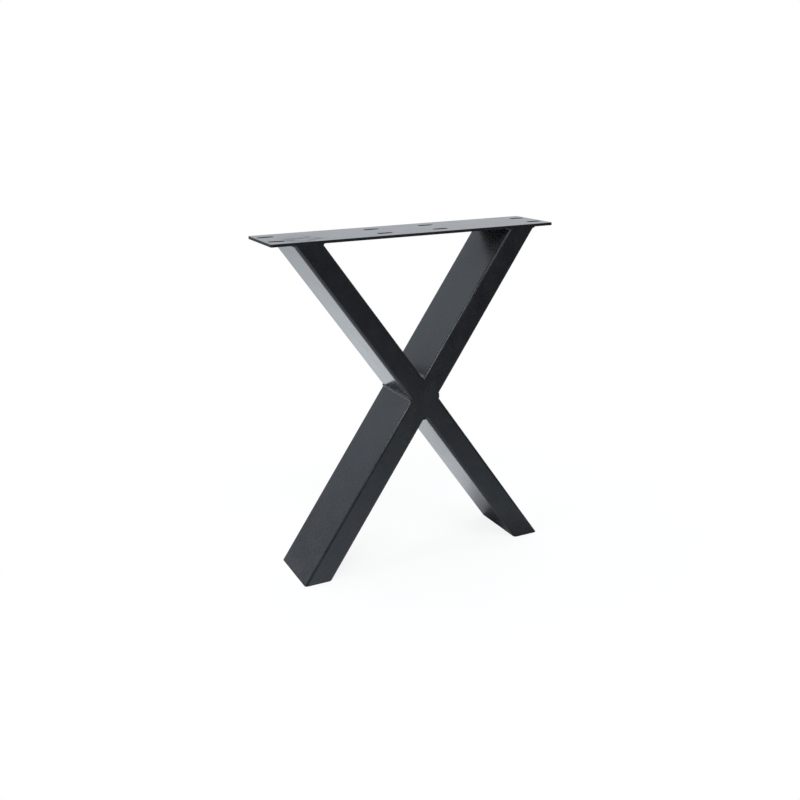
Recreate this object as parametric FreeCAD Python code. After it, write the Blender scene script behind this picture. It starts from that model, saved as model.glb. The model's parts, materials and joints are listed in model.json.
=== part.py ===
import FreeCAD, Part
import math
import os

# X shaped table leg, welded from rectangular steel tube under a slotted fixing plate.
# Frame: +X along the plate, to the right seen from the front; -Y towards the viewer; +Z up.
# The origin is on the floor, under the middle of the plate. All sizes are in millimetres.

# Overall stand
overall_height = 720.0       # floor to the top face of the plate
foot_spread = 508.0          # between the two tube axes, at the floor
upper_half_shift = 1.0       # how far right of the crossing the upper half tube's axis passes
lower_half_shift = 4.0       # the same for the lower half tube, which sits a little out of line

# Rectangular tube
tube_width = 50.0            # narrow face, seen from the front
tube_depth = 150.0           # deep face, front to back
tube_wall = 3.0
tube_corner_r = 6.5          # outer corner; the inner corner is one wall smaller

# Fixing plate
plate_length = 635.0
plate_thickness = 6.0
plate_side_setback = 0.0     # plate edge behind the tube's front and back faces: flush
plate_corner_r = 4.0
plate_edge_r = 0.6           # broken edge round the outline
head_inset = 75.5            # from the plate's end to the axis of the tube under it

# Slots for the screws, all running along the plate
slot_width = 13.0
slot_length = 34.0           # end to end
slot_row_spacing = 72.0      # front row to back row
outer_slot_inset = 24.0      # from the plate's end to the middle of an outer slot
inner_slot_spacing = 127.0   # between the middles of the inner slots

# Closing plates under the feet
foot_plate_thickness = 3.0
foot_plate_edge_r = 1.2      # ground edge round the sole

# Welds
notch_weld_leg = 7.0         # in the two wide side notches of the X
vee_weld_leg = 5.5           # in the narrow notches above and below the crossing
head_weld_leg = 4.5          # under the plate
weld_crown = 0.7             # how far a bead swells past a flat face
crossing_bead_setback = 1.0  # bead ends at the crossing, inside the tube's front and back faces
crossing_bead_root = 3.0     # depth to which such a bead fills the gap at a rounded corner
head_bead_setback = 2.5      # the same two sizes for the beads under the plate
head_bead_root = 1.5
root_gap = 0.8               # start of the flush filling, past the flat of the tube

# Places worked out from the sizes above
plate_depth = tube_depth - 2 * plate_side_setback
plate_underside = overall_height - plate_thickness
head_x = plate_length / 2 - head_inset
foot_x = foot_spread / 2
crossing_z = plate_underside * foot_x / (foot_x + head_x)
outer_slot_x = plate_length / 2 - outer_slot_inset
inner_slot_x = inner_slot_spacing / 2
reach = overall_height + plate_length   # longer than any tube, for blanks that are cut to length

UP = FreeCAD.Vector(0, 0, 1)
ALONG_DEPTH = FreeCAD.Vector(0, 1, 0)


def point(x, z, y=0.0):
    return FreeCAD.Vector(x, y, z)


def box_between(low, high):
    size = high - low
    return Part.makeBox(size.x, size.y, size.z, low)


def rounded_rectangle(width, depth, radius):
    """Closed outline round the origin, in the XY plane."""
    x, y = width / 2, depth / 2
    diagonal = radius * (1 - math.sqrt(0.5))
    edges = []
    for sx, sy, ahead in ((1, 1, True), (-1, 1, False), (-1, -1, True), (1, -1, False)):
        side_end = FreeCAD.Vector(sx * x, sy * (y - radius), 0)
        face_end = FreeCAD.Vector(sx * (x - radius), sy * y, 0)
        middle = FreeCAD.Vector(sx * (x - diagonal), sy * (y - diagonal), 0)
        start, end = (side_end, face_end) if ahead else (face_end, side_end)
        edges.append(Part.Arc(start, middle, end).toShape())
    corners = [(edge.valueAt(edge.FirstParameter), edge.valueAt(edge.LastParameter)) for edge in edges]
    for index, (_, end) in enumerate(corners):
        next_start = corners[(index + 1) % len(corners)][0]
        edges.append(Part.LineSegment(end, next_start).toShape())
    return Part.Wire(Part.__sortEdges__(edges))


class Run:
    """A straight run of tube: its axis goes through two points, low and high."""

    def __init__(self, low, high):
        self.low = low
        self.high = high
        self.along = (high - low).normalize()
        self.lean = math.degrees(math.atan2(high.x - low.x, high.z - low.z))
        self.placement = FreeCAD.Placement(low, FreeCAD.Rotation(ALONG_DEPTH, self.lean))
        # square to the axis and level in depth, pointing to the right
        self.across = self.placement.Rotation.multVec(FreeCAD.Vector(1, 0, 0))

    def prism(self, width, depth, radius):
        """Endless bar along the axis."""
        face = Part.Face(rounded_rectangle(width, depth, radius))
        bar = face.extrude(UP * 2 * reach)
        bar.translate(UP * -reach)
        bar.Placement = self.placement.multiply(bar.Placement)
        return bar

    def outside(self):
        return self.prism(tube_width, tube_depth, tube_corner_r)

    def inside(self):
        wall = 2 * tube_wall
        return self.prism(tube_width - wall, tube_depth - wall, tube_corner_r - tube_wall)

    def hollow(self):
        return self.outside().cut(self.inside())

    def slab(self, from_axis, to_axis):
        """Everything between two planes that stand beside the axis, parallel to it."""
        low = FreeCAD.Vector(from_axis, -tube_depth, -reach)
        high = FreeCAD.Vector(to_axis, tube_depth, reach)
        block = box_between(low, high)
        block.Placement = self.placement.multiply(block.Placement)
        return block

    def side_line(self, side):
        """A point on the side face, in the middle plane; side is -1 for left and 1 for right."""
        return self.low + self.across * (side * tube_width / 2)


long_run = Run(point(-foot_x, 0), point(head_x, plate_underside))
upper_run = Run(point(upper_half_shift, crossing_z), point(-head_x, plate_underside))
lower_run = Run(point(foot_x, 0), point(lower_half_shift, crossing_z))


def level_slice(low_z, high_z):
    return box_between(point(-reach, low_z, -tube_depth), point(reach, high_z, tube_depth))


def meeting(point_a, along_a, point_b, along_b):
    """Where two lines in the middle plane cross."""
    gap = point_b - point_a
    turn = along_a.x * along_b.z - along_a.z * along_b.x
    distance = (gap.x * along_b.z - gap.z * along_b.x) / turn
    return point_a + along_a * distance


def long_tube():
    """The tube that runs in one piece from the left foot to the right head."""
    return long_run.hollow().common(level_slice(foot_plate_thickness, plate_underside))


def upper_half_tube():
    """The upper half of the other tube, coped to the left side of the long tube."""
    beside = long_run.slab(-reach, -tube_width / 2)
    return upper_run.hollow().common(level_slice(0, plate_underside)).common(beside)


def lower_half_tube():
    """The lower half of the other tube, coped to the right side of the long tube."""
    beside = long_run.slab(tube_width / 2, reach)
    return lower_run.hollow().common(level_slice(foot_plate_thickness, plate_underside)).common(beside)


def foot_plate(run):
    """A plate that closes the tube and carries on its outline down to the floor."""
    sole = run.outside().common(level_slice(0, foot_plate_thickness))
    rim = [edge for edge in sole.Edges if edge.BoundBox.ZMax < foot_plate_thickness / 10]
    return sole.makeFillet(foot_plate_edge_r, rim)


def slot(x, y):
    """A round-ended slot through the plate, centred on x, y."""
    outline = rounded_slot(slot_length, slot_width)
    cutter = Part.Face(outline).extrude(UP * 3 * plate_thickness)
    cutter.translate(FreeCAD.Vector(x, y, plate_underside - plate_thickness))
    return cutter


def rounded_slot(length, width):
    """Two straight sides joined by half circles, in the XY plane."""
    r = width / 2
    x = length / 2 - r
    right = Part.Arc(FreeCAD.Vector(x, -r, 0), FreeCAD.Vector(x + r, 0, 0), FreeCAD.Vector(x, r, 0))
    left = Part.Arc(FreeCAD.Vector(-x, r, 0), FreeCAD.Vector(-x - r, 0, 0), FreeCAD.Vector(-x, -r, 0))
    top = Part.LineSegment(FreeCAD.Vector(x, r, 0), FreeCAD.Vector(-x, r, 0))
    bottom = Part.LineSegment(FreeCAD.Vector(-x, -r, 0), FreeCAD.Vector(x, -r, 0))
    return Part.Wire([right.toShape(), top.toShape(), left.toShape(), bottom.toShape()])


def top_plate():
    """The fixing plate, with a pair of slots near each end and two pairs near the middle."""
    blank = Part.Face(rounded_rectangle(plate_length, plate_depth, plate_corner_r)).extrude(UP * plate_thickness)
    blank.translate(UP * plate_underside)
    outline = [edge for edge in blank.Edges if edge.BoundBox.ZLength < plate_thickness / 10]
    plate = blank.makeFillet(plate_edge_r, outline)
    for x in (-outer_slot_x, -inner_slot_x, inner_slot_x, outer_slot_x):
        for y in (-slot_row_spacing / 2, slot_row_spacing / 2):
            plate = plate.cut(slot(x, y))
    return plate


def bead(root, along_a, along_b, leg, depth, setback):
    """Weld in the corner at root, between two faces that leave it along two directions.

    The section has one leg on each face, a swollen front between them, and a root of some
    depth that reaches into the gaps at rounded corners. The neighbours are cut away later."""
    end_a = root + along_a * leg
    end_b = root + along_b * leg
    outward = (along_a + along_b).normalize()
    chord_middle = (end_a + end_b) * 0.5
    front = Part.Arc(end_a, chord_middle + outward * weld_crown, end_b).toShape()
    back = root - outward * 2 * depth
    inner_a = end_a - along_b * depth
    inner_b = end_b - along_a * depth
    sides = Part.makePolygon([end_b, inner_b, back, inner_a, end_a]).Edges
    half = tube_depth / 2 - setback
    section = Part.Face(Part.Wire([front] + sides))
    section.translate(ALONG_DEPTH * -half)
    return section.extrude(ALONG_DEPTH * 2 * half)


def flush_filling(half_run, side):
    """Weld, ground flush with the front and back faces, that carries the half tube's outline
    on over the long tube's rounded corners."""
    near = tube_width / 2
    far = near - tube_corner_r
    slab = long_run.slab(far, near) if side > 0 else long_run.slab(-near, -far)
    filling = half_run.outside().common(slab)
    start = tube_depth / 2 - tube_corner_r + root_gap
    middle = box_between(point(-reach, -reach, -start), point(reach, reach, start))
    return filling.cut(middle).cut(long_run.outside())


def crossing_weld(half_run, side, outward):
    """All-round weld between a half tube and the long tube: a bead in the wide notch, one in
    the narrow vee, and the flush filling in front and behind."""
    face = long_run.side_line(side)
    pieces = [flush_filling(half_run, side)]
    for half_side, leg in ((side, vee_weld_leg), (-side, notch_weld_leg)):
        # the half tube's face on that side, and where it lands on the long tube
        leaving = half_run.along * outward
        face_side = 1 if half_side * outward > 0 else -1
        raise_side = half_run.side_line(face_side)
        root = meeting(face, long_run.along, raise_side, half_run.along)
        away = half_run.across * face_side
        along_long = long_run.along if long_run.along.dot(away) > 0 else long_run.along * -1
        pieces.append(bead(root, leaving, along_long, leg, crossing_bead_root, crossing_bead_setback))
    weld = pieces[0].fuse(pieces[1:])
    weld = weld.cut(long_run.outside()).cut(half_run.outside().common(half_slab(side)))
    return weld.removeSplitter()


def half_slab(side):
    """The room on one side of the long tube."""
    near = tube_width / 2
    return long_run.slab(near, reach) if side > 0 else long_run.slab(-reach, -near)


def head_weld(run, side):
    """Bead between the plate's underside and one deep face of a tube."""
    root = meeting(run.side_line(side), run.along, point(0, plate_underside), FreeCAD.Vector(1, 0, 0))
    down = run.along * -1
    outward = FreeCAD.Vector(side, 0, 0)
    weld = bead(root, down, outward, head_weld_leg, head_bead_root, head_bead_setback)
    weld = weld.common(level_slice(0, plate_underside))
    return weld.cut(run.outside())


parts = {
    "top_plate": top_plate(),
    "long_tube": long_tube(),
    "upper_half_tube": upper_half_tube(),
    "lower_half_tube": lower_half_tube(),
    "left_foot_plate": foot_plate(long_run),
    "right_foot_plate": foot_plate(lower_run),
    "upper_crossing_weld": crossing_weld(upper_run, -1, 1),
    "lower_crossing_weld": crossing_weld(lower_run, 1, -1),
    "left_head_outer_weld": head_weld(upper_run, -1),
    "left_head_inner_weld": head_weld(upper_run, 1),
    "right_head_inner_weld": head_weld(long_run, -1),
    "right_head_outer_weld": head_weld(long_run, 1),
}

os.makedirs("parts", exist_ok=True)
for name, shape in parts.items():
    if not shape.isValid() or shape.Volume <= 0:
        raise ValueError(name + " is not a sound solid")
    shape.exportStep("parts/" + name + ".step")
    print(name, "solids", len(shape.Solids), "volume", round(shape.Volume), "faces", len(shape.Faces))
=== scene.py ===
import json
import math
from functools import partial
from typing import NamedTuple

import bpy
from bpy.props import FloatProperty, FloatVectorProperty, IntProperty, PointerProperty
from bpy.types import Operator, Panel, PropertyGroup
from mathutils import Matrix, Vector, noise
from mathutils.geometry import delaunay_2d_cdt


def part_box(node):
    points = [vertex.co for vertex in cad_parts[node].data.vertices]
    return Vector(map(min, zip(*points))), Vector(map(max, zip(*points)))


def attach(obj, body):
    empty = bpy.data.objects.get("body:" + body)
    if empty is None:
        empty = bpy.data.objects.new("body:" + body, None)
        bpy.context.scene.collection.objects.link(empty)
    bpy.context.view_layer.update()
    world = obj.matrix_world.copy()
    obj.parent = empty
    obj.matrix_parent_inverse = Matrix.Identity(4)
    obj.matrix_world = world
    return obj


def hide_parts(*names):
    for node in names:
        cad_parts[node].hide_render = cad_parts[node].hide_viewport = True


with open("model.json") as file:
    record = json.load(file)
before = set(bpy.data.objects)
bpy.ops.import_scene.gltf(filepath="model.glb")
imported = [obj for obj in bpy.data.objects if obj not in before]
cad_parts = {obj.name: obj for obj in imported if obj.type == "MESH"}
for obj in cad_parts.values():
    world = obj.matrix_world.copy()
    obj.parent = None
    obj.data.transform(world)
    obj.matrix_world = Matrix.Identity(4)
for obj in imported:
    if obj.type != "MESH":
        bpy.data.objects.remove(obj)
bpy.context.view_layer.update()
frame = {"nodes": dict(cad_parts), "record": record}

bl_info = {
    "name": "X Shaped Table Leg",
    "version": (1, 0, 0),
    "blender": (4, 5, 0),
    "location": "3D View > Sidebar > Table Leg",
    "description": "Builds a powder coated steel X leg with its slotted plate, and a stage for it",
    "category": "Add Mesh",
}

BODY = "root"
MM = 0.001
LEVEL_TOLERANCE = 0.01 * MM
DEPTHWISE = Vector((0, 1, 0))
SHARP_EDGE = math.radians(32)
NORMAL_WEIGHT = 90

# The plate's mesh: steps round its corners, the rings of points round each slot, how close
# two points count as one, and the e-folds of the dip over its reach
PLATE_CORNER_STEPS = 8
SLOT_RINGS = (1.2 * MM, 2.6 * MM)
SAME_POINT = 1e-7
DIP_FOLDS = 2

# The plate's heat waves: the line they lie about, their slant and how much swirls bend them
WAVE_MIDDLE = -24 * MM
WAVE_SLANT = 25
SWIRL_BEND = 3
SWIRL_GRAIN = (32, 26, 9)

# The dull marks in the plate's coat: their middle from the left tube's head, and their reach
MARKS_MIDDLE = (4 * MM, -30 * MM)
MARKS_REACH = (5 * MM, 60 * MM)
MARKS_CONTRAST = (0.34, 0.7)

# The coat's specular level, the lower level painted in as shade where the plate looks down, and
# the slopes between them
COAT_SPECULAR = 0.5
SHADED_UNDERSIDE_SPECULAR = 0.08
DOWNWARD = (-0.9, -0.5)

# Beads: what is left of the leg at the ends, how uneven leg and crown are, how far a
# ripple's middle runs ahead and strays, in pitches, and what brings its height to one
END_SHARE = 0.3
VEE_END_SHARE = 0.15
HEAD_END_SHARE = 0.35
LEG_UNEVENNESS = 0.09
CROWN_UNEVENNESS = 0.5
RIPPLE_LEAD = 0.55
RIPPLE_STRAY = 0.35
RIPPLE_PEAK = 2.6
RINGS_PER_RIPPLE = 7
BEAD_POINTS = 9

# Turn round the tube's corner that keeps the flush filling clear of its root
FILLING_MARGIN = 0.08

# The studio's light, as parts of a direction: where it changes from front to back, from
# left to right, low at the left and at the horizon
FRONT_TO_BACK = (-0.35, 0.45)
LEFT_TO_RIGHT = (-0.4, 0.1)
LOW_AT_LEFT = (-0.04, 0.345)
HORIZON = (-0.02, 0.11)

# The floor's light, in metres: where its painted light gains behind the leg and falls off at the
# left and far behind, where its painted shadow starts at the right foot, where it loses the real
# shadow, and where it passes under the leg
GAIN_BEHIND = (-0.1, 0.35)
LEFT_EDGE = (-2.6, -1.0)
FAR_BEHIND = (3.0, 7.0)
SHADE_START = 0.03
SHADOW_END = (0.3, 0.9)
UNDER_LEG = (-0.12, 0.02)

# Levels and the plate, read from the frame
PLATE_LOW, PLATE_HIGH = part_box("top_plate")
PLATE_SIZE = PLATE_HIGH - PLATE_LOW
UNDERSIDE = PLATE_LOW.z
SOLE_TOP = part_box("left_foot_plate")[1].z
TUBE_LOW, TUBE_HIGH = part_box("long_tube")
TUBE_DEPTH = TUBE_HIGH.y - TUBE_LOW.y


def level_span(node, z):
    """Lowest and highest x of a node's corners at one level."""
    corners = frame["nodes"][node].data.vertices
    level = [corner.co.x for corner in corners if abs(corner.co.z - z) < LEVEL_TOLERANCE]
    return min(level), max(level)


def level_middle(node, z):
    """Where a tube's axis passes a level cut through it."""
    low, high = level_span(node, z)
    return Vector(((low + high) / 2, 0, z))


class Run:
    """A straight run of tube: a point on its axis, the way along it and the way across."""

    def __init__(self, start, along):
        self.along = along.normalized()
        self.across = Vector((self.along.z, 0, -self.along.x))
        self.start = start

    def place(self, across, depth, distance):
        return self.start + self.across * across + DEPTHWISE * depth + self.along * distance

    def to_level(self, across, depth, z):
        """Where the line beside the axis reaches a level."""
        base = self.place(across, depth, 0)
        return base + self.along * ((z - base.z) / self.along.z)

    def to_face(self, across, depth, other, offset):
        """Where the line beside the axis reaches a plane that stands beside another run's axis."""
        base = self.place(across, depth, 0)
        short = offset - (base - other.start).dot(other.across)
        return base + self.along * (short / self.along.dot(other.across))


def half_run(node, level, side, end):
    """A half tube's run, from its level cut and the far end of its side line."""
    corners = frame["nodes"][node].data.vertices
    tip = max(corners, key=lambda v: v.co.z * end).co
    x = level_span(node, level)[0 if side < 0 else 1]
    way = Vector((tip.x - x, 0, tip.z - level)) * end
    return Run(level_middle(node, level), way)


LONG_FOOT = level_middle("long_tube", SOLE_TOP)
LONG = Run(LONG_FOOT, level_middle("long_tube", UNDERSIDE) - LONG_FOOT)
UPPER = half_run("upper_half_tube", UNDERSIDE, -1, -1)
LOWER = half_run("lower_half_tube", SOLE_TOP, 1, 1)
LONG_SPAN = level_span("long_tube", UNDERSIDE)
TUBE_WIDTH = (LONG_SPAN[1] - LONG_SPAN[0]) * LONG.along.z


class TubeSettings(PropertyGroup):
    corner_radius: FloatProperty(
        name="Corner radius", description="Outer corner of the tube", default=6.5 * MM,
        unit="LENGTH")
    wall: FloatProperty(
        name="Wall", description="Thickness of the tube's wall", default=3 * MM, unit="LENGTH")
    corner_steps: IntProperty(
        name="Corner steps", description="Faces round each corner", default=12, min=3)
    sole_edge: FloatProperty(
        name="Sole edge", description="Ground edge round each sole", default=1.2 * MM,
        unit="LENGTH")


class PlateSettings(PropertyGroup):
    corner_radius: FloatProperty(
        name="Corner radius", description="Corners of the plate seen from above", default=4 * MM,
        unit="LENGTH")
    edge_radius: FloatProperty(
        name="Edge radius", description="Broken edge round the outline", default=0.6 * MM,
        unit="LENGTH")
    rim_radius: FloatProperty(
        name="Rim radius", description="Broken edge round each slot", default=0.5 * MM,
        unit="LENGTH")
    rim_dip: FloatProperty(
        name="Rim dip", description="How far the face falls away towards a slot",
        default=0.22 * MM, unit="LENGTH")
    rim_reach: FloatProperty(
        name="Rim reach", description="How far from the slot the dip starts", default=4 * MM,
        unit="LENGTH")
    left_heat_depth: FloatProperty(
        name="Left heat wave depth", description="Waves that welding left over the left tube",
        default=1.1 * MM, unit="LENGTH")
    right_heat_depth: FloatProperty(
        name="Right heat wave depth", description="Waves that welding left over the right tube",
        default=0.05 * MM, unit="LENGTH")
    heat_reach: FloatProperty(
        name="Heat wave reach", description="How far the waves reach round a tube's head",
        default=38 * MM, unit="LENGTH")
    heat_pitch: FloatProperty(
        name="Heat wave pitch", description="Distance from wave to wave", default=55 * MM,
        unit="LENGTH")
    grid: FloatProperty(
        name="Grid", description="Distance between the face's points", default=5 * MM,
        unit="LENGTH")


class WeldSettings(PropertyGroup):
    left_notch_leg: FloatProperty(
        name="Left notch leg", description="Leg of the bead in the left notch", default=3.0 * MM,
        unit="LENGTH")
    right_notch_leg: FloatProperty(
        name="Right notch leg", description="Leg of the bead in the right notch",
        default=7.6 * MM, unit="LENGTH")
    upper_vee_leg: FloatProperty(
        name="Upper vee leg", description="Leg of the bead above the crossing", default=7 * MM,
        unit="LENGTH")
    lower_vee_leg: FloatProperty(
        name="Lower vee leg", description="Leg of the bead below the crossing", default=5.5 * MM,
        unit="LENGTH")
    head_leg: FloatProperty(
        name="Head leg", description="Leg of the beads under the plate", default=4.5 * MM,
        unit="LENGTH")
    end_draw: FloatProperty(
        name="End draw", description="Length over which the other beads draw in at their ends",
        default=2 * MM, unit="LENGTH")
    crossing_setback: FloatProperty(
        name="Crossing setback",
        description="Ends of the crossing beads, inside the front and back faces",
        default=1.2 * MM, unit="LENGTH")
    head_setback: FloatProperty(
        name="Head setback", description="The same for the beads under the plate",
        default=1.6 * MM, unit="LENGTH")
    crown: FloatProperty(
        name="Crown", description="How far a bead swells", default=0.5 * MM, unit="LENGTH")
    vee_draw: FloatProperty(
        name="Vee draw", description="Length over which the bead above the crossing draws in",
        default=5 * MM, unit="LENGTH")
    vee_setback: FloatProperty(
        name="Vee setback",
        description="How far the bead above the crossing stops short of the front and back faces",
        default=4 * MM, unit="LENGTH")
    arm_reach: FloatProperty(
        name="Arm reach", description="How far the filling of a valley runs out along both tubes",
        default=8 * MM, unit="LENGTH")
    vee_hollow: FloatProperty(
        name="Vee hollow", description="How far the bead above the crossing falls in",
        default=0.5 * MM, unit="LENGTH")
    vee_lean: FloatProperty(
        name="Vee lean",
        description="Leg of the bead above the crossing on the half tube, as a share of the other",
        default=0.6)
    ripple_depth: FloatProperty(
        name="Ripple depth", description="Height of the ripples", default=0.22 * MM,
        unit="LENGTH")
    ripple_pitch: FloatProperty(
        name="Ripple pitch", description="Distance from ripple to ripple", default=4.2 * MM,
        unit="LENGTH")
    root_gap: FloatProperty(
        name="Root gap", description="Start of the flush filling, past the tube's flat",
        default=0.8 * MM, unit="LENGTH")


class CoatSettings(PropertyGroup):
    colour: FloatVectorProperty(
        name="Colour", description="Black of the powder coat", subtype="COLOR",
        default=(0.0125, 0.0135, 0.0155))
    light_colour: FloatVectorProperty(
        name="Light colour", description="The coat where it lies thin", subtype="COLOR",
        default=(0.0185, 0.0195, 0.0215))
    roughness: FloatProperty(
        name="Roughness", description="Middle of the coat's gloss", default=0.16,
        subtype="FACTOR")
    long_tube_shift: FloatProperty(
        name="Long tube shift", description="How much duller the coat lies on the long tube",
        default=0.11)
    roughness_spread: FloatProperty(
        name="Roughness spread", description="How far the gloss varies", default=0.03,
        subtype="FACTOR")
    heat_dulling: FloatProperty(
        name="Heat dulling",
        description="How much duller the coat lies in the swirls that welding left", default=0.3)
    peel_depth: FloatProperty(
        name="Peel depth", description="Depth of the fine orange peel", default=0.003 * MM,
        unit="LENGTH")
    peel_scale: FloatProperty(
        name="Peel scale", description="Grains of the orange peel in a metre", default=520.0)
    wave_depth: FloatProperty(
        name="Wave depth", description="Depth of the soft unevenness of the rolled steel",
        default=0.01 * MM, unit="LENGTH")


class StageSettings(PropertyGroup):
    azimuth: FloatProperty(
        name="Azimuth", description="Camera's turn round the leg", default=math.radians(-26.827),
        subtype="ANGLE")
    elevation: FloatProperty(
        name="Elevation", description="Camera's height over the horizon",
        default=math.radians(13.802), subtype="ANGLE")
    roll: FloatProperty(
        name="Roll", description="Camera's roll", default=math.radians(-0.865), subtype="ANGLE")
    distance: FloatProperty(
        name="Distance", description="Camera to the leg's middle plane", default=2.17037,
        unit="LENGTH")
    aim_right: FloatProperty(
        name="Aim right", description="Aim, to the right of the leg's middle", default=0.06706,
        unit="LENGTH")
    aim_up: FloatProperty(
        name="Aim up", description="Aim, above the leg's middle", default=0.10571, unit="LENGTH")
    focal_share: FloatProperty(
        name="Focal share", description="Focal length as a share of the frame's width",
        default=1.24056)
    shift: FloatVectorProperty(
        name="Shift", description="Lens shift across and up", size=2, default=(-0.05, -0.06875))
    back_level: FloatProperty(
        name="Back level", description="Light from behind the leg", default=0.87)
    front_level: FloatProperty(
        name="Front level", description="Light from the camera's side", default=0.06)
    left_share: FloatProperty(
        name="Left share", description="What is left of that light low at the back left",
        default=0.3, subtype="FACTOR")
    shadow_share: FloatProperty(
        name="Shadow share", description="How much of the shadow the floor keeps", default=0.12,
        subtype="FACTOR")
    glow_front: FloatProperty(
        name="Front glow",
        description="Share of glow in the floor that reflections see in front of the leg",
        default=0.85, subtype="FACTOR")
    glow_back: FloatProperty(
        name="Back glow", description="The same share behind the leg, where shadows count",
        default=0.05, subtype="FACTOR")
    # Painted light in the floor that reflections see, with a painted shadow at the right foot
    floor_peak: FloatProperty(
        name="Floor peak", description="Level that the floor tends to at the back left",
        default=1.38)
    floor_middle: FloatProperty(
        name="Floor middle", description="Where the floor's level is on its fall, in e-folds",
        default=0.39)
    floor_lift: FloatProperty(
        name="Floor lift", description="What the floor gains behind the leg", default=0.25)
    # Painted shadow in that floor at the right foot
    foot_shade: FloatProperty(
        name="Foot shade", description="What is left of the floor's light at the right foot",
        default=0.3, subtype="FACTOR")
    shade_reach: FloatProperty(
        name="Shade reach", description="Where that shade ends", default=0.24, unit="LENGTH")
    floor_fall: FloatVectorProperty(
        name="Floor fall", description="E-folds in a metre, to the right and to the back", size=2,
        default=(-2.357, 0.68))
    horizon_share: FloatProperty(
        name="Horizon share", description="What is left of the light at the horizon",
        default=0.45, subtype="FACTOR")
    tint: FloatVectorProperty(
        name="Tint", description="Colour of the studio's light", subtype="COLOR",
        default=(0.905, 0.95, 1.0))
    cool_tint: FloatVectorProperty(
        name="Cool tint", description="Colour of the light at the left and in front",
        subtype="COLOR", default=(0.78, 0.88, 1.0))


def add_piece(name, corners, faces, material, *nodes):
    """A new mesh that stands for CAD nodes, smooth but for its real edges."""
    mesh = bpy.data.meshes.new(name)
    mesh.from_pydata([tuple(corner) for corner in corners], [], faces)
    mesh.validate()
    mesh.shade_smooth()
    mesh.set_sharp_from_angle(angle=SHARP_EDGE)
    mesh.materials.append(material)
    piece = bpy.data.objects.new(name, mesh)
    bpy.context.scene.collection.objects.link(piece)
    even = piece.modifiers.new("even_normals", "WEIGHTED_NORMAL")
    even.keep_sharp = True
    even.weight = NORMAL_WEIGHT
    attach(piece, BODY)
    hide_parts(*nodes)
    return piece


def turned_outwards(corners, faces):
    """The faces, all turned round if they enclose a negative volume."""
    volume = 0.0
    for face in faces:
        for second, third in zip(face[1:], face[2:]):
            volume += corners[face[0]].dot(corners[second].cross(corners[third]))
    return faces if volume > 0 else [tuple(reversed(face)) for face in faces]


def loft(rings, closed=False):
    """Faces between rings of equally many corners; open lofts get a face at each end."""
    count = len(rings[0])
    corners = [corner for ring in rings for corner in ring]
    faces = []
    pairs = len(rings) if closed else len(rings) - 1
    for index in range(pairs):
        here, there = index * count, (index + 1) % len(rings) * count
        for k in range(count):
            after = (k + 1) % count
            faces.append((here + k, here + after, there + after, there + k))
    if not closed:
        faces.append(tuple(reversed(range(count))))
        faces.append(tuple(range((len(rings) - 1) * count, len(rings) * count)))
    return corners, turned_outwards(corners, faces)


def joined(parts):
    """One list of corners and faces from several."""
    corners, faces = [], []
    for part_corners, part_faces in parts:
        base = len(corners)
        corners.extend(part_corners)
        faces.extend(tuple(base + index for index in face) for face in part_faces)
    return corners, faces


def rounded_outline(width, depth, radius, steps):
    """Points round a rectangle with round corners, anticlockwise."""
    points = []
    for quarter, (sx, sy) in enumerate(((1, 1), (-1, 1), (-1, -1), (1, -1))):
        for step in range(steps + 1):
            angle = (quarter + step / steps) * math.pi / 2
            points.append((sx * (width / 2 - radius) + radius * math.cos(angle),
                           sy * (depth / 2 - radius) + radius * math.sin(angle)))
    return points


def receding(depth, radius):
    """How far a tube's side has fallen back at a depth, because of its round corner."""
    past = abs(depth) - (TUBE_DEPTH / 2 - radius)
    return radius - math.sqrt(max(radius ** 2 - past ** 2, 0)) if past > 0 else 0.0


def link_nodes(tree, links):
    """Link sockets, each row a node with its output and a node with its input."""
    for source, output, target, socket in links:
        tree.links.new(source.outputs[output], target.inputs[socket])


def chain(tree, kind, operation, *inputs):
    """A node that works on its inputs, each a socket to link or a value; gives its result."""
    node = tree.nodes.new(kind)
    node.operation = operation
    for index, value in enumerate(inputs):
        if isinstance(value, bpy.types.NodeSocket):
            tree.links.new(value, node.inputs[index])
        else:
            node.inputs[index].default_value = value
    return node.outputs["Value"]


def maths(tree, operation, *inputs):
    return chain(tree, "ShaderNodeMath", operation, *inputs)


def noise_field(tree, place, **settings):
    """A noise texture with its inputs set by name."""
    node = tree.nodes.new("ShaderNodeTexNoise")
    for name, value in settings.items():
        node.inputs[name].default_value = value
    tree.links.new(place, node.inputs["Vector"])
    return node


def ramp(tree, value, span, levels):
    """A smooth change from the first level to the second over a span of the value."""
    node = tree.nodes.new("ShaderNodeMapRange")
    node.interpolation_type = "SMOOTHSTEP"
    tree.links.new(value, node.inputs["Value"])
    names = ("From Min", "From Max", "To Min", "To Max")
    for name, setting in zip(names, (*span, *levels)):
        node.inputs[name].default_value = setting
    return node.outputs["Result"]


def two_tints(tree, share, first, second):
    """A colour that goes from the first tint to the second."""
    mix = tree.nodes.new("ShaderNodeMix")
    mix.data_type = "RGBA"
    mix.inputs["A"].default_value = (*first, 1)
    mix.inputs["B"].default_value = (*second, 1)
    tree.links.new(share, mix.inputs["Factor"])
    return mix.outputs["Result"]


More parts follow.
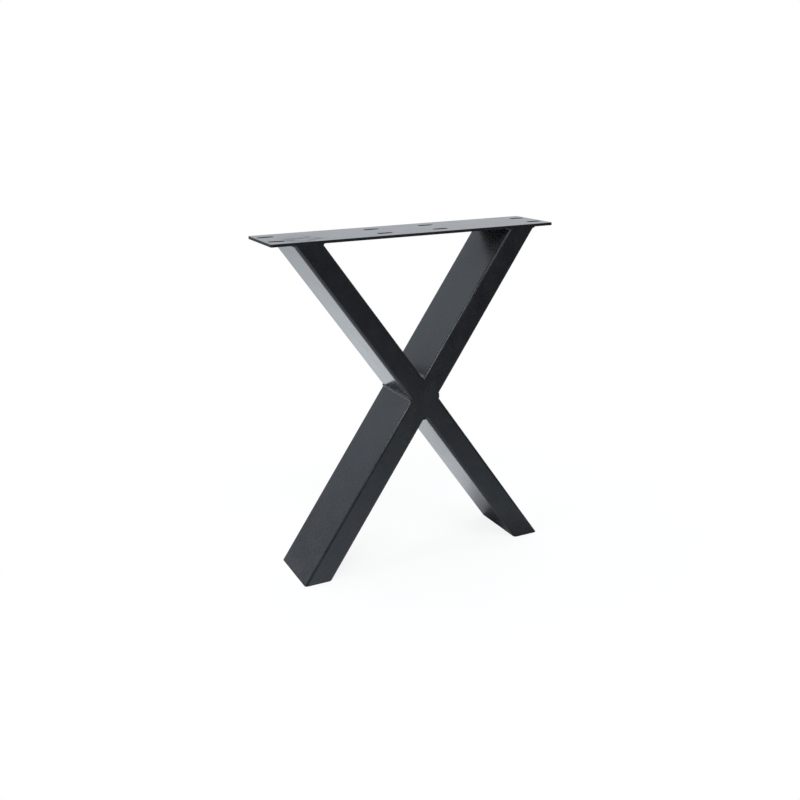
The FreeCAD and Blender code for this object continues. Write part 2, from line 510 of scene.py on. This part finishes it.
def powder_coat(name, settings, gloss_shift=0.0, seed=0.0):
    """Black powder coat: two near blacks, uneven gloss, fine orange peel and soft waves."""
    material = bpy.data.materials.new(name)
    material.use_nodes = True
    tree = material.node_tree
    shader = tree.nodes["Principled BSDF"]
    shader.inputs["IOR"].default_value = 1.5
    shader.inputs["Metallic"].default_value = 0.0
    shader.inputs["Specular IOR Level"].default_value = COAT_SPECULAR
    place = tree.nodes.new("ShaderNodeTexCoord")
    moved = tree.nodes.new("ShaderNodeMapping")
    moved.inputs["Location"].default_value = (seed, seed * 0.7, seed * 1.3)
    tree.links.new(place.outputs["Object"], moved.inputs["Vector"])
    spot = moved.outputs["Vector"]
    clouds = noise_field(tree, spot, Scale=26.0, Detail=5.0, Roughness=0.6)
    grains = noise_field(tree, spot, Scale=settings.peel_scale, Detail=2.0)
    waves = noise_field(tree, spot, Scale=34.0, Detail=1.0)
    contrast = tree.nodes.new("ShaderNodeMapRange")
    contrast.inputs["From Min"].default_value = 0.35
    contrast.inputs["From Max"].default_value = 0.7
    colours = two_tints(tree, contrast.outputs["Result"], settings.colour, settings.light_colour)
    gloss = tree.nodes.new("ShaderNodeMapRange")
    middle = settings.roughness + gloss_shift
    gloss.inputs["To Min"].default_value = middle - settings.roughness_spread
    gloss.inputs["To Max"].default_value = middle + settings.roughness_spread
    fine = tree.nodes.new("ShaderNodeBump")
    fine.inputs["Distance"].default_value = settings.peel_depth
    fine.inputs["Strength"].default_value = 1.0
    soft = tree.nodes.new("ShaderNodeBump")
    soft.inputs["Distance"].default_value = settings.wave_depth
    soft.inputs["Strength"].default_value = 1.0
    tree.links.new(colours, shader.inputs["Base Color"])
    link_nodes(tree, (
        (clouds, "Fac", contrast, "Value"),
        (contrast, "Result", gloss, "Value"),
        (gloss, "Result", shader, "Roughness"),
        (waves, "Fac", soft, "Height"),
        (grains, "Fac", fine, "Height"),
        (soft, "Normal", fine, "Normal"),
        (fine, "Normal", shader, "Normal"),
    ))
    return material


def tube_skin(low_end, high_end, tube):
    """Outer and inner skin of a tube between two ends, with its cut faces."""
    outer = rounded_outline(TUBE_WIDTH, TUBE_DEPTH, tube.corner_radius, tube.corner_steps)
    inner = rounded_outline(TUBE_WIDTH - 2 * tube.wall, TUBE_DEPTH - 2 * tube.wall,
                            tube.corner_radius - tube.wall, tube.corner_steps)
    round_trip = ((outer, low_end), (outer, high_end), (inner, high_end), (inner, low_end))
    return loft([[end(u, v) for u, v in outline] for outline, end in round_trip], closed=True)


def tube_piece(name, low_end, high_end, gloss_shift=0.0):
    """One tube; each end gives the place where a line along the tube meets its cut."""
    scene = bpy.context.scene
    corners, faces = tube_skin(low_end, high_end, scene.leg_tube)
    coat = powder_coat(name + "_coat", scene.leg_coat, gloss_shift)
    return add_piece(name, corners, faces, coat, name)


class LEG_OT_tubes(Operator):
    """Make the long tube and the two half tubes that are coped to its sides"""
    bl_idname = "leg.tubes"
    bl_label = "Tubes"

    def execute(self, context):
        scene = context.scene
        half = TUBE_WIDTH / 2
        tube_piece("long_tube", partial(LONG.to_level, z=SOLE_TOP),
                   partial(LONG.to_level, z=UNDERSIDE), scene.leg_coat.long_tube_shift)
        tube_piece("upper_half_tube", partial(UPPER.to_face, other=LONG, offset=-half),
                   partial(UPPER.to_level, z=UNDERSIDE))
        tube_piece("lower_half_tube", partial(LOWER.to_level, z=SOLE_TOP),
                   partial(LOWER.to_face, other=LONG, offset=half))
        return {"FINISHED"}


def sole_skin(run, tube):
    """A closing plate that carries the tube's outline to the floor and rounds in under it."""
    levels = [(SOLE_TOP, 0.0)]
    steps = 5
    for step in range(steps + 1):
        angle = step / steps * math.pi / 2
        rise, inset = 1 - math.sin(angle), 1 - math.cos(angle)
        levels.append((tube.sole_edge * rise, tube.sole_edge * inset))
    rings = []
    for z, inset in levels:
        outline = rounded_outline(TUBE_WIDTH - 2 * inset, TUBE_DEPTH - 2 * inset,
                                  tube.corner_radius - inset, tube.corner_steps)
        rings.append([run.to_level(u, v, z) for u, v in outline])
    return loft(rings)


class LEG_OT_soles(Operator):
    """Make the two closing plates under the feet"""
    bl_idname = "leg.soles"
    bl_label = "Closing plates"

    def execute(self, context):
        scene = context.scene
        for name, run in (("left_foot_plate", LONG), ("right_foot_plate", LOWER)):
            corners, faces = sole_skin(run, scene.leg_tube)
            add_piece(name, corners, faces, powder_coat(name + "_coat", scene.leg_coat), name)
        return {"FINISHED"}


def slots():
    """Middle, half length and radius of each slot, from the mounts."""
    found = []
    for mount in frame["record"]["mounts"]:
        dims = mount.get("dims") or {}
        if "slot_length_mm" not in dims:
            continue
        radius = dims["hole_r_mm"] * MM
        reach = dims["slot_length_mm"] * MM / 2 - radius
        for sx in (-1, 1):
            for sy in (-1, 1):
                x = mount["pos_m"][0] + sx * dims["spacing_x_mm"] * MM / 2
                y = mount["pos_m"][1] + sy * dims["spacing_y_mm"] * MM / 2
                found.append((x, y, reach, radius))
    return found


def slot_outline(x, y, reach, radius, steps=10):
    """Points round a slot, anticlockwise."""
    points = []
    for side, centre in ((-90, reach), (90, -reach)):
        for step in range(steps + 1):
            angle = math.radians(side + 180 * step / steps)
            points.append((x + centre + radius * math.cos(angle), y + radius * math.sin(angle)))
    return points


def slot_distance(px, py, slot):
    """From a point to a slot's edge; less than nothing inside it."""
    x, y, reach, radius = slot
    along = max(abs(px - x) - reach, 0)
    return math.hypot(along, py - y) - radius


def heat_wave(px, py, plate):
    """How far the waves that welding left over the tubes sink the face."""
    sink = 0.0
    heads = ((UPPER.start.x, plate.left_heat_depth),
             (LONG.to_level(0, 0, UNDERSIDE).x, plate.right_heat_depth))
    for head, depth in heads:
        across = (px - head) / plate.heat_reach
        deep = (py - WAVE_MIDDLE) / plate.heat_reach
        spot = [value * grain for value, grain in zip((px, py, head), SWIRL_GRAIN)]
        swirl = noise.noise(Vector(spot))
        slant = (px - head) * WAVE_SLANT
        wave = math.sin(py / plate.heat_pitch * 2 * math.pi + slant + SWIRL_BEND * swirl)
        sink += depth * math.exp(-across ** 2 - deep ** 2) * (0.5 + 0.5 * wave)
    return sink


def plate_outline(plate, inset):
    """Points round the plate, so far inside its edge."""
    return rounded_outline(PLATE_SIZE.x - 2 * inset, PLATE_SIZE.y - 2 * inset,
                           plate.corner_radius - inset, PLATE_CORNER_STEPS)


def plate_face(plate, all_slots):
    """The plate's flat points and triangles between its rims, seen from above.

    Returns the points, the triangles and, for each rim, the places of its points."""
    rims = [plate_outline(plate, plate.edge_radius)]
    for x, y, reach, radius in all_slots:
        rims.append(slot_outline(x, y, reach, radius + plate.rim_radius))
    points, edges = [], []
    for rim in rims:
        base = len(points)
        points += [Vector(point) for point in rim]
        edges += [(base + k, base + (k + 1) % len(rim)) for k in range(len(rim))]
    margin = plate.grid / 2
    columns, rows = int(PLATE_SIZE.x / plate.grid), int(PLATE_SIZE.y / plate.grid)
    for column in range(1, columns):
        for row in range(1, rows):
            x, y = PLATE_LOW.x + column * plate.grid, PLATE_LOW.y + row * plate.grid
            edge = min(x - PLATE_LOW.x, PLATE_HIGH.x - x, y - PLATE_LOW.y, PLATE_HIGH.y - y)
            hole = min(slot_distance(x, y, slot) for slot in all_slots)
            if edge > margin and hole > margin:
                points.append(Vector((x, y)))
    for x, y, reach, radius in all_slots:
        for spread in SLOT_RINGS:
            ring = slot_outline(x, y, reach, radius + plate.rim_radius + spread)
            points += [Vector(point) for point in ring]
    found, _, triangles, origins, _, _ = delaunay_2d_cdt(points, edges, [], 0, SAME_POINT)
    solid = []
    for triangle in triangles:
        middle = sum((found[index] for index in triangle), Vector((0, 0))) / 3
        hole = min(slot_distance(middle.x, middle.y, slot) for slot in all_slots)
        if hole > plate.rim_radius:
            solid.append(triangle)
    place = {}
    for index, sources in enumerate(origins):
        for source in sources:
            place[source] = index
    rim_places, base = [], 0
    for rim in rims:
        rim_places.append([place[base + k] for k in range(len(rim))])
        base += len(rim)
    return found, solid, rim_places


def plate_skin(plate):
    """The whole plate: both faces, the broken edges and the walls of the slots."""
    all_slots = slots()
    found, triangles, rim_places = plate_face(plate, all_slots)
    corners, faces = [], []
    for point in found:
        near = min(slot_distance(point.x, point.y, slot) for slot in all_slots)
        away = max(near - plate.rim_radius, 0) / plate.rim_reach
        dip = plate.rim_dip * math.exp(-away * DIP_FOLDS)
        dip += heat_wave(point.x, point.y, plate)
        corners.append(Vector((point.x, point.y, PLATE_HIGH.z - dip)))
    lower = len(corners)
    corners += [Vector((point.x, point.y, PLATE_LOW.z)) for point in found]
    faces += [tuple(triangle) for triangle in triangles]
    faces += [tuple(lower + index for index in reversed(triangle)) for triangle in triangles]
    steps = 4
    turns = [step / steps * math.pi / 2 for step in range(1, steps + 1)]
    for number, places in enumerate(rim_places):
        radius = plate.rim_radius if number else plate.edge_radius
        rings = [list(places)]
        sections = [(turn, True) for turn in turns] + [(turn, False) for turn in reversed(turns)]
        for turn, upper in sections:
            inset, drop = radius * (1 - math.sin(turn)), radius * (1 - math.cos(turn))
            if number:
                x, y, reach, hole = all_slots[number - 1]
                outline = slot_outline(x, y, reach, hole + inset)
            else:
                outline = plate_outline(plate, inset)
            ring = []
            for (x, y), top_place in zip(outline, places):
                z = corners[top_place].z - drop if upper else PLATE_LOW.z + drop
                ring.append(len(corners))
                corners.append(Vector((x, y, z)))
            rings.append(ring)
        rings.append([lower + place for place in places])
        for here, there in zip(rings, rings[1:]):
            count = len(here)
            for k in range(count):
                after = (k + 1) % count
                face = (here[k], there[k], there[after], here[after])
                faces.append(face if number == 0 else tuple(reversed(face)))
    return corners, faces


def underside_painted_shade(material):
    """Painted shade: the coat reflects little on faces that look down."""
    tree = material.node_tree
    shader = tree.nodes["Principled BSDF"]
    geometry = tree.nodes.new("ShaderNodeNewGeometry")
    split = tree.nodes.new("ShaderNodeSeparateXYZ")
    tree.links.new(geometry.outputs["True Normal"], split.inputs["Vector"])
    # Painted shade: the reflection falls to a low level where the face looks down
    level = ramp(tree, split.outputs["Z"], DOWNWARD, (SHADED_UNDERSIDE_SPECULAR, COAT_SPECULAR))
    tree.links.new(level, shader.inputs["Specular IOR Level"])


def heat_marks(material, dulling):
    """Dull swirls in the coat over the left tube, where welding heated the plate."""
    tree = material.node_tree
    shader = tree.nodes["Principled BSDF"]
    gloss = shader.inputs["Roughness"].links[0].from_socket
    place = tree.nodes.new("ShaderNodeTexCoord")
    spot = place.outputs["Object"]
    middle = (UPPER.start.x + MARKS_MIDDLE[0], MARKS_MIDDLE[1], PLATE_HIGH.z)
    away = chain(tree, "ShaderNodeVectorMath", "DISTANCE", spot, middle)
    near = ramp(tree, away, MARKS_REACH, (1.0, 0.0))
    swirls = noise_field(tree, spot, Scale=26.0, Detail=1.0, Distortion=0.9)
    swirls.noise_dimensions = "4D"
    streaks = ramp(tree, swirls.outputs["Fac"], MARKS_CONTRAST, (0.0, 1.0))
    share = maths(tree, "MULTIPLY", near, streaks)
    dulled = maths(tree, "MULTIPLY_ADD", share, dulling, gloss)
    tree.links.new(dulled, shader.inputs["Roughness"])


class LEG_OT_plate(Operator):
    """Make the fixing plate with its eight slots"""
    bl_idname = "leg.plate"
    bl_label = "Fixing plate"

    def execute(self, context):
        scene = context.scene
        corners, faces = plate_skin(scene.leg_plate)
        coat = powder_coat("top_plate_coat", scene.leg_coat, seed=3.1)
        # Painted shade in the reflection of the plate's faces that look down
        underside_painted_shade(coat)
        heat_marks(coat, scene.leg_coat.heat_dulling)
        add_piece("top_plate", corners, faces, coat, "top_plate")
        return {"FINISHED"}


def flush_filling(run, side, facing, tube, weld):
    """Weld ground flush, that carries a half tube's outline over the long tube's round corner."""
    radius = tube.corner_radius
    flat = TUBE_DEPTH / 2 - radius
    start = flat + weld.root_gap
    arc_steps, depth_steps = 8, 6
    first = math.asin(weld.root_gap / radius) + FILLING_MARGIN
    outline = []
    for step in range(arc_steps + 1):
        angle = first + (math.pi / 2 - first) * step / arc_steps
        outline.append((-(TUBE_WIDTH / 2 - radius) - radius * math.cos(angle),
                        flat + radius * math.sin(angle)))
    outline += [(-u, v) for u, v in reversed(outline)]
    plane = side * TUBE_WIDTH / 2
    rings = []
    for u, deepest in outline:
        ring = [run.to_face(u, facing * deepest, LONG, plane)]
        for step in range(depth_steps + 1):
            v = deepest + (start - deepest) * step / depth_steps
            skin = side * (TUBE_WIDTH / 2 - receding(v, radius))
            ring.append(run.to_face(u, facing * v, LONG, skin))
        ring.append(run.to_face(u, facing * start, LONG, plane))
        rings.append(ring)
    return loft(rings)


class BeadShape(NamedTuple):
    """A bead's leg, what is left of it at the ends, where it draws in, how far it stops short
    and its crown. Lean is the leg on the first face as a share of the leg on the second."""
    leg: float
    end_share: float
    draw: float
    setback: float
    crown: float
    lean: float = 1.0


def level_face(depth):
    """How far a flat face has fallen back at a depth."""
    return 0.0


def bead(root, along_a, along_b, recede_a, recede_b, shape, weld, seed):
    """A rippled bead in the corner at root, between two faces that leave it along two ways.

    recede_a and recede_b give how far each face has fallen back at a depth."""
    outward = (along_a + along_b).normalized()
    normal_a = (along_b - along_a * along_b.dot(along_a)).normalized()
    normal_b = (along_a - along_b * along_a.dot(along_b)).normalized()
    half = TUBE_DEPTH / 2 - shape.setback
    count = int(2 * half / (weld.ripple_pitch / RINGS_PER_RIPPLE))
    rings = []
    for index in range(count + 1):
        y = -half + 2 * half * index / count
        drawn = max(abs(y) - (half - shape.draw), 0) / shape.draw
        full = math.sqrt(max(1 - drawn ** 2, 0))
        unevenness = noise.noise(Vector((y * 45, seed, 0.3)))
        stray = RIPPLE_STRAY * noise.noise(Vector((y * 90, seed, 4.0)))
        size = shape.leg * (1 + LEG_UNEVENNESS * unevenness)
        size *= shape.end_share + (1 - shape.end_share) * full
        crown = shape.crown * (1 + CROWN_UNEVENNESS * unevenness)
        corner = root + DEPTHWISE * y
        deep = (corner - along_b * (recede_a(y) / along_b.dot(normal_a))
                - along_a * (recede_b(y) / along_a.dot(normal_b)))
        end_a, end_b = deep + along_a * size * shape.lean, deep + along_b * size
        ring = [deep]
        for step in range(BEAD_POINTS):
            s = step / (BEAD_POINTS - 1)
            bow = 4 * s * (1 - s)
            phase = (y / weld.ripple_pitch + RIPPLE_LEAD * bow + stray) % 1.0
            ripple = math.sqrt(phase) * (1 - phase) * RIPPLE_PEAK
            lift = (crown + weld.ripple_depth * ripple) * bow * full
            ring.append(end_a.lerp(end_b, s) + outward * lift)
        rings.append(ring)
    return loft(rings)


def valley_filling(root, along_a, along_b, facing, tube, weld):
    """Weld that fills the valley between two tubes' round corners, in front or behind."""
    radius = tube.corner_radius
    sine = along_a.cross(along_b).length
    halves = ([], [])
    steps = 8
    for step in range(1, steps + 1):
        turn = step / steps * math.pi / 2
        sink = radius * (1 - math.cos(turn))
        corner = root + DEPTHWISE * facing * (TUBE_DEPTH / 2 - radius * (1 - math.sin(turn)))
        deep = corner - (along_a + along_b) * (sink / sine)
        arm = sink / sine + weld.arm_reach * sink / radius
        for rings, along in zip(halves, (along_a, along_b)):
            rings.append([deep, deep + along * arm, corner])
    return [loft(rings) for rings in halves]


def crossing_weld(run, side, outward, shapes, tube, weld, seed):
    """Flush fillings in front and behind, and the beads along both corners of the seam.

    Each bead comes as the side of the half tube that it lies on, and its shape."""
    parts = [flush_filling(run, side, facing, tube, weld) for facing in (-1, 1)]
    for number, (face_side, shape) in enumerate(shapes):
        root = run.to_face(face_side * TUBE_WIDTH / 2, 0, LONG, side * TUBE_WIDTH / 2)
        away = run.across * face_side
        along_long = LONG.along if LONG.along.dot(away) > 0 else -LONG.along
        leaving = run.along * outward
        parts.append(bead(root, leaving, along_long, level_face, level_face, shape, weld,
                          seed + number))
        for facing in (-1, 1):
            parts += valley_filling(root, leaving, along_long, facing, tube, weld)
    return joined(parts)


class LEG_OT_crossing_welds(Operator):
    """Make the two all-round welds at the crossing"""
    bl_idname = "leg.crossing_welds"
    bl_label = "Crossing welds"

    def execute(self, context):
        scene = context.scene
        weld = scene.leg_weld
        coat = powder_coat("crossing_weld_coat", scene.leg_coat)
        ends = (END_SHARE, weld.end_draw, weld.crossing_setback)
        vee = BeadShape(weld.upper_vee_leg, VEE_END_SHARE, weld.vee_draw, weld.vee_setback,
                        -weld.vee_hollow, weld.vee_lean)
        upper = ((1, vee),
                 (-1, BeadShape(weld.left_notch_leg, *ends, weld.crown)))
        lower = ((-1, BeadShape(weld.lower_vee_leg, *ends, weld.crown)),
                 (1, BeadShape(weld.right_notch_leg, *ends, weld.crown)))
        for name, run, side, outward, shapes in (("upper_crossing_weld", UPPER, -1, 1, upper),
                                                 ("lower_crossing_weld", LOWER, 1, -1, lower)):
            corners, faces = crossing_weld(run, side, outward, shapes, scene.leg_tube, weld,
                                           seed=7.0 * side)
            add_piece(name, corners, faces, coat, name)
        return {"FINISHED"}


class LEG_OT_head_welds(Operator):
    """Make the four beads under the plate"""
    bl_idname = "leg.head_welds"
    bl_label = "Head welds"

    def execute(self, context):
        scene = context.scene
        weld = scene.leg_weld
        shape = BeadShape(weld.head_leg, HEAD_END_SHARE, weld.end_draw, weld.head_setback,
                          weld.crown)
        coat = powder_coat("head_weld_coat", scene.leg_coat)
        recede = partial(receding, radius=scene.leg_tube.corner_radius)
        for name, run, side in (("left_head_outer_weld", UPPER, -1),
                                ("left_head_inner_weld", UPPER, 1),
                                ("right_head_inner_weld", LONG, -1),
                                ("right_head_outer_weld", LONG, 1)):
            root = run.to_level(side * TUBE_WIDTH / 2, 0, UNDERSIDE)
            corners, faces = bead(root, -run.along, Vector((side, 0, 0)), recede, level_face,
                                  shape, weld, seed=11.0 + 3 * side + run.start.x)
            add_piece(name, corners, faces, coat, name)
        return {"FINISHED"}


def area_lamp(name, place, aim, size, power, tint):
    """A rectangular lamp at a place, turned to what it lights."""
    lamp = bpy.data.lights.new(name, "AREA")
    lamp.shape = "RECTANGLE"
    lamp.size, lamp.size_y = size
    lamp.energy = power
    lamp.color = tint
    holder = bpy.data.objects.new(name, lamp)
    holder.location = place
    holder.rotation_euler = (Vector(aim) - Vector(place)).to_track_quat("-Z", "Y").to_euler()
    bpy.context.scene.collection.objects.link(holder)


def studio_world(stage):
    """Bright behind, darker low at the back left and on the camera's side, white to the camera."""
    world = bpy.data.worlds.new("studio")
    bpy.context.scene.world = world
    world.use_nodes = True
    tree = world.node_tree
    tree.nodes.clear()
    place = tree.nodes.new("ShaderNodeTexCoord")
    split = tree.nodes.new("ShaderNodeSeparateXYZ")
    tree.links.new(place.outputs["Generated"], split.inputs["Vector"])
    x, y, z = (split.outputs[axis] for axis in "XYZ")
    depth = ramp(tree, y, FRONT_TO_BACK, (stage.front_level, stage.back_level))
    left = ramp(tree, x, LEFT_TO_RIGHT, (1.0, 0.0))
    low = ramp(tree, z, LOW_AT_LEFT, (1 - stage.left_share, 0.0))
    horizon = ramp(tree, z, HORIZON, (stage.horizon_share, 1.0))
    kept = maths(tree, "SUBTRACT", 1.0, maths(tree, "MULTIPLY", left, low))
    level = maths(tree, "MULTIPLY", maths(tree, "MULTIPLY", depth, kept), horizon)
    room = tree.nodes.new("ShaderNodeBackground")
    tree.links.new(two_tints(tree, left, stage.tint, stage.cool_tint), room.inputs["Color"])
    tree.links.new(level, room.inputs["Strength"])
    white = tree.nodes.new("ShaderNodeBackground")
    white.inputs["Color"].default_value = (1, 1, 1, 1)
    path = tree.nodes.new("ShaderNodeLightPath")
    pick = tree.nodes.new("ShaderNodeMixShader")
    output = tree.nodes.new("ShaderNodeOutputWorld")
    link_nodes(tree, (
        (path, "Is Camera Ray", pick, 0),
        (room, "Background", pick, 1),
        (white, "Background", pick, 2),
        (pick, "Shader", output, "Surface"),
    ))


def floor_level(tree, place, split, stage):
    """Painted light in the floor that reflections see: level at the back left, falling off to the
    front right, with a painted shadow towards the right foot."""
    x, y = split.outputs["X"], split.outputs["Y"]
    across = maths(tree, "MULTIPLY_ADD", x, stage.floor_fall[0], stage.floor_middle)
    both = maths(tree, "MULTIPLY_ADD", y, stage.floor_fall[1], across)
    growth = maths(tree, "EXPONENT", maths(tree, "MULTIPLY", both, -1.0))
    share = maths(tree, "DIVIDE", stage.floor_peak, maths(tree, "ADD", growth, 1.0))
    lift = ramp(tree, y, GAIN_BEHIND, (0.0, stage.floor_lift))
    near = maths(tree, "MINIMUM", maths(tree, "ADD", share, lift), 1.0)
    left = ramp(tree, x, LEFT_EDGE, (stage.horizon_share, 1.0))
    back = ramp(tree, y, FAR_BEHIND, (1.0, stage.horizon_share))
    open_floor = maths(tree, "MULTIPLY", near, maths(tree, "MULTIPLY", left, back))
    # Painted shadow in the floor round the right foot
    foot = (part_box("right_foot_plate")[1].x, 0, 0)
    from_foot = chain(tree, "ShaderNodeVectorMath", "DISTANCE", place, foot)
    shade = ramp(tree, from_foot, (SHADE_START, stage.shade_reach), (stage.foot_shade, 1.0))
    return maths(tree, "MULTIPLY", open_floor, shade)


def floor_finish(stage):
    """White sweep: it keeps the leg's shadow close by and is white beyond. Reflections see painted
    light in it that falls off to the front right, as a floor lit from the back left does, and a
    painted shadow at the right foot."""
    material = bpy.data.materials.new("white_sweep")
    material.use_nodes = True
    tree = material.node_tree
    tree.nodes.clear()
    place = tree.nodes.new("ShaderNodeTexCoord")
    spot = place.outputs["Object"]
    split = tree.nodes.new("ShaderNodeSeparateXYZ")
    tree.links.new(spot, split.inputs["Vector"])
    away = chain(tree, "ShaderNodeVectorMath", "LENGTH", spot)
    white_share = ramp(tree, away, SHADOW_END, (1 - stage.shadow_share, 1.0))
    # Painted light and shade of the floor, for reflections only
    level = floor_level(tree, spot, split, stage)
    path = tree.nodes.new("ShaderNodeLightPath")
    camera_share = maths(tree, "MULTIPLY", path.outputs["Is Camera Ray"], white_share)
    glow_share = ramp(tree, split.outputs["Y"], UNDER_LEG, (stage.glow_front, stage.glow_back))
    glossy_share = maths(tree, "MULTIPLY", path.outputs["Is Glossy Ray"], glow_share)
    front = ramp(tree, split.outputs["Y"], UNDER_LEG, (1.0, 0.0))
    paint = tree.nodes.new("ShaderNodeMix")
    paint.data_type = "RGBA"
    paint.inputs["A"].default_value = (0.8, 0.8, 0.8, 1)
    glow = tree.nodes.new("ShaderNodeEmission")
    glow.inputs["Color"].default_value = (1, 1, 1, 1)
    glossy_glow = tree.nodes.new("ShaderNodeEmission")
    tints = two_tints(tree, front, stage.tint, stage.cool_tint)
    paper = tree.nodes.new("ShaderNodeBsdfDiffuse")
    seen = tree.nodes.new("ShaderNodeMixShader")
    mirrored = tree.nodes.new("ShaderNodeMixShader")
    output = tree.nodes.new("ShaderNodeOutputMaterial")
    for value, socket in ((tints, glossy_glow.inputs["Color"]),
                          (level, glossy_glow.inputs["Strength"]),
                          (level, paint.inputs["B"]),
                          (glossy_share, mirrored.inputs[0]),
                          (camera_share, seen.inputs[0])):
        tree.links.new(value, socket)
    link_nodes(tree, (
        (path, "Is Glossy Ray", paint, "Factor"),
        (paint, "Result", paper, "Color"),
        (paper, "BSDF", mirrored, 1),
        (glossy_glow, "Emission", mirrored, 2),
        (mirrored, "Shader", seen, 1),
        (glow, "Emission", seen, 2),
        (seen, "Shader", output, "Surface"),
    ))
    return material


def studio_floor(stage):
    """A wide square floor, just under the soles."""
    half = 9.0
    drop = 0.1 * MM
    corners = [(sx * half, sy * half, -drop) for sx, sy in ((-1, -1), (1, -1), (1, 1), (-1, 1))]
    mesh = bpy.data.meshes.new("studio_floor")
    mesh.from_pydata(corners, [], [(0, 1, 2, 3)])
    mesh.materials.append(floor_finish(stage))
    floor = bpy.data.objects.new("studio_floor", mesh)
    bpy.context.scene.collection.objects.link(floor)


def studio_camera(stage):
    """The photograph's own view, with the lens shift that its framing needs."""
    a, e = stage.azimuth, stage.elevation
    back = Vector((math.sin(a) * math.cos(e), -math.cos(a) * math.cos(e), math.sin(e)))
    right = Vector((math.cos(a), math.sin(a), 0))
    up = back.cross(right)
    turned_right = right * math.cos(stage.roll) + up * math.sin(stage.roll)
    turned_up = up * math.cos(stage.roll) - right * math.sin(stage.roll)
    middle = Vector((0, 0, PLATE_HIGH.z / 2))
    aim = middle + turned_right * stage.aim_right + turned_up * stage.aim_up
    lens = bpy.data.cameras.new("studio_camera")
    lens.sensor_width = 36.0
    lens.lens = stage.focal_share * lens.sensor_width
    lens.shift_x, lens.shift_y = stage.shift
    camera = bpy.data.objects.new("studio_camera", lens)
    turn = Matrix((turned_right, turned_up, back)).transposed().to_4x4()
    camera.matrix_world = Matrix.Translation(aim + back * stage.distance) @ turn
    bpy.context.scene.collection.objects.link(camera)
    bpy.context.scene.camera = camera


class LEG_OT_stage(Operator):
    """Set the floor, the light and the camera"""
    bl_idname = "leg.stage"
    bl_label = "Stage"

    def execute(self, context):
        scene = context.scene
        stage = scene.leg_stage
        scene.view_settings.view_transform = "Standard"
        studio_world(stage)
        studio_floor(stage)
        area_lamp("overhead", place=(0.2, 0.6, 2.6), aim=(0, 0.2, 0), size=(2.4, 1.8),
                  power=34.0, tint=stage.tint)
        area_lamp("left_softbox", place=(-1.8, -0.27, 1.85), aim=(0, 0, 0.5), size=(0.55, 0.7),
                  power=17.0, tint=stage.tint)
        area_lamp("front_fill", place=(-0.5, -1.9, 3.1), aim=(0, 0, 0.36), size=(1.6, 1.4),
                  power=82.0, tint=stage.tint)
        studio_camera(stage)
        return {"FINISHED"}


class LEG_PT_panel(Panel):
    """Buttons for the leg's pieces and its stage"""
    bl_idname = "LEG_PT_panel"
    bl_label = "X Shaped Table Leg"
    bl_space_type = "VIEW_3D"
    bl_region_type = "UI"
    bl_category = "Table Leg"

    def draw(self, context):
        for operator in OPERATORS:
            self.layout.operator(operator.bl_idname)


GROUPS = {
    "leg_tube": TubeSettings,
    "leg_plate": PlateSettings,
    "leg_weld": WeldSettings,
    "leg_coat": CoatSettings,
    "leg_stage": StageSettings,
}
OPERATORS = (LEG_OT_stage, LEG_OT_tubes, LEG_OT_soles, LEG_OT_plate, LEG_OT_crossing_welds,
             LEG_OT_head_welds)
CLASSES = (*GROUPS.values(), *OPERATORS, LEG_PT_panel)


def register():
    for cls in CLASSES:
        bpy.utils.register_class(cls)
    for name, group in GROUPS.items():
        setattr(bpy.types.Scene, name, PointerProperty(type=group))


def unregister():
    for name in GROUPS:
        delattr(bpy.types.Scene, name)
    for cls in reversed(CLASSES):
        bpy.utils.unregister_class(cls)


def main():
    register()
    bpy.ops.leg.stage()
    bpy.ops.leg.tubes()
    bpy.ops.leg.soles()
    bpy.ops.leg.plate()
    bpy.ops.leg.crossing_welds()
    bpy.ops.leg.head_welds()


if __name__ == "__main__":
    main()
